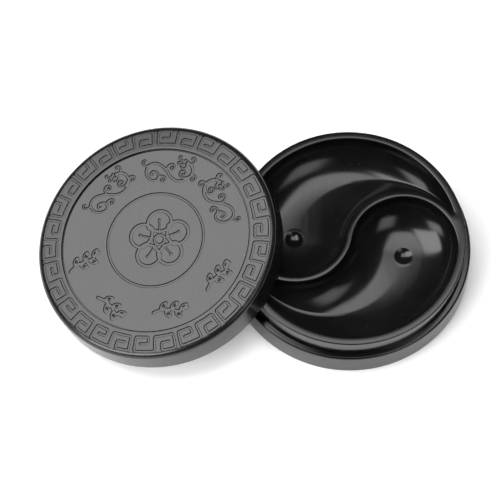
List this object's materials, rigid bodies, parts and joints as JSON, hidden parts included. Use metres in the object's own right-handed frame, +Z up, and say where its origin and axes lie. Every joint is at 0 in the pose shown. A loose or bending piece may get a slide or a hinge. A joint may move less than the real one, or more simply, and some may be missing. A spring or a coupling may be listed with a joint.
{
  "type": "ink dish",
  "caption": "Round black plastic ink dish with two comma-shaped wells and a slip-on lid; the lid is off and leans on the rim.",
  "frame": {"origin": "on the dish's axis, in the plane of its foot", "axes": "+Z up along the dish's axis; the lid lies on the -X side; +Y points away from the front"},
  "size_m": [0.2133, 0.124, 0.0441],
  "materials": {
    "dish_plastic": "moulded black, glossy inside the wells",
    "lid_plastic": "moulded black, satin top and smoother skirt"
  },
  "bodies": {
    "dish_body": {"dish": "dish_plastic"},
    "lid_body": {"lid": "lid_plastic"}
  },
  "joints": [
    {"name": "lid_lift", "type": "slide", "parent": "dish_body", "child": "lid_body", "axis": [0, 0, 1], "range_m": [0, 0.06]}
  ]
}
